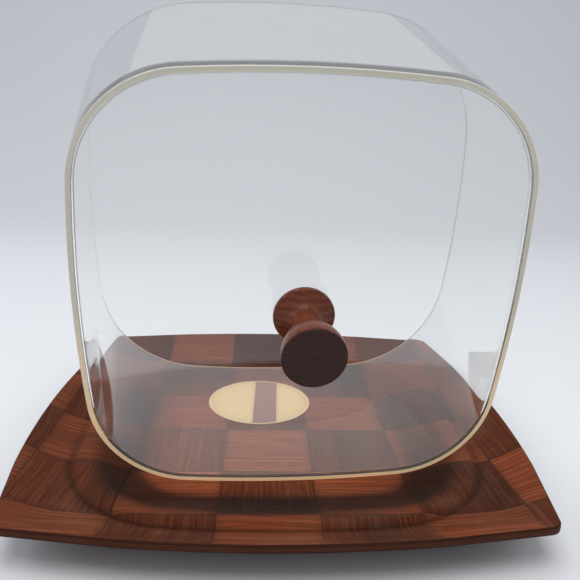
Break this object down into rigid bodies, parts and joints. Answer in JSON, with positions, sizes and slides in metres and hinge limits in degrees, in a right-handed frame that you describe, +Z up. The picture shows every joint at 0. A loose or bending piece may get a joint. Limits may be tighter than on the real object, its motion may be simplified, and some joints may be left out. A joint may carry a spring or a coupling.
{
  "type": "cheese dome on tray",
  "caption": "Woven-wood tray with a clear acrylic dome tipped on its side upon it and a turned wood knob.",
  "frame": {"origin": "middle of the tray's underside, on the table", "axes": "+Z up, +Y away from the viewer, +X to the viewer's right"},
  "size_m": [0.33, 0.33, 0.311],
  "materials": {
    "woven_veneer": "lacquered",
    "core_veneer": "satin",
    "acrylic": "clear polished acrylic",
    "turned_wood": "lacquered",
    "collar": "gloss",
    "nylon": "matte",
    "screw_metal": "satin",
    "label_paper": "matte"
  },
  "bodies": {
    "tray": {"tray_face_ply": "woven_veneer", "tray_core_ply": "core_veneer", "tray_back_ply": "woven_veneer", "paper_label": "label_paper"},
    "dome": {"dome_shell": "acrylic", "knob_gasket": "collar", "screw_washer": "nylon", "knob_screw": "screw_metal"},
    "knob": {"knob": "turned_wood"}
  },
  "joints": [
    {"name": "dome_lift", "type": "slide", "parent": "tray", "child": "dome", "axis": [0, 0, 1], "range_m": [0, 0.25]},
    {"name": "knob_turn", "type": "hinge", "parent": "dome", "child": "knob", "pos_m": [0.01075, -0.09345, 0.12491], "axis": [-0.0567, 0.9836, 0.1711], "continuous": true}
  ]
}
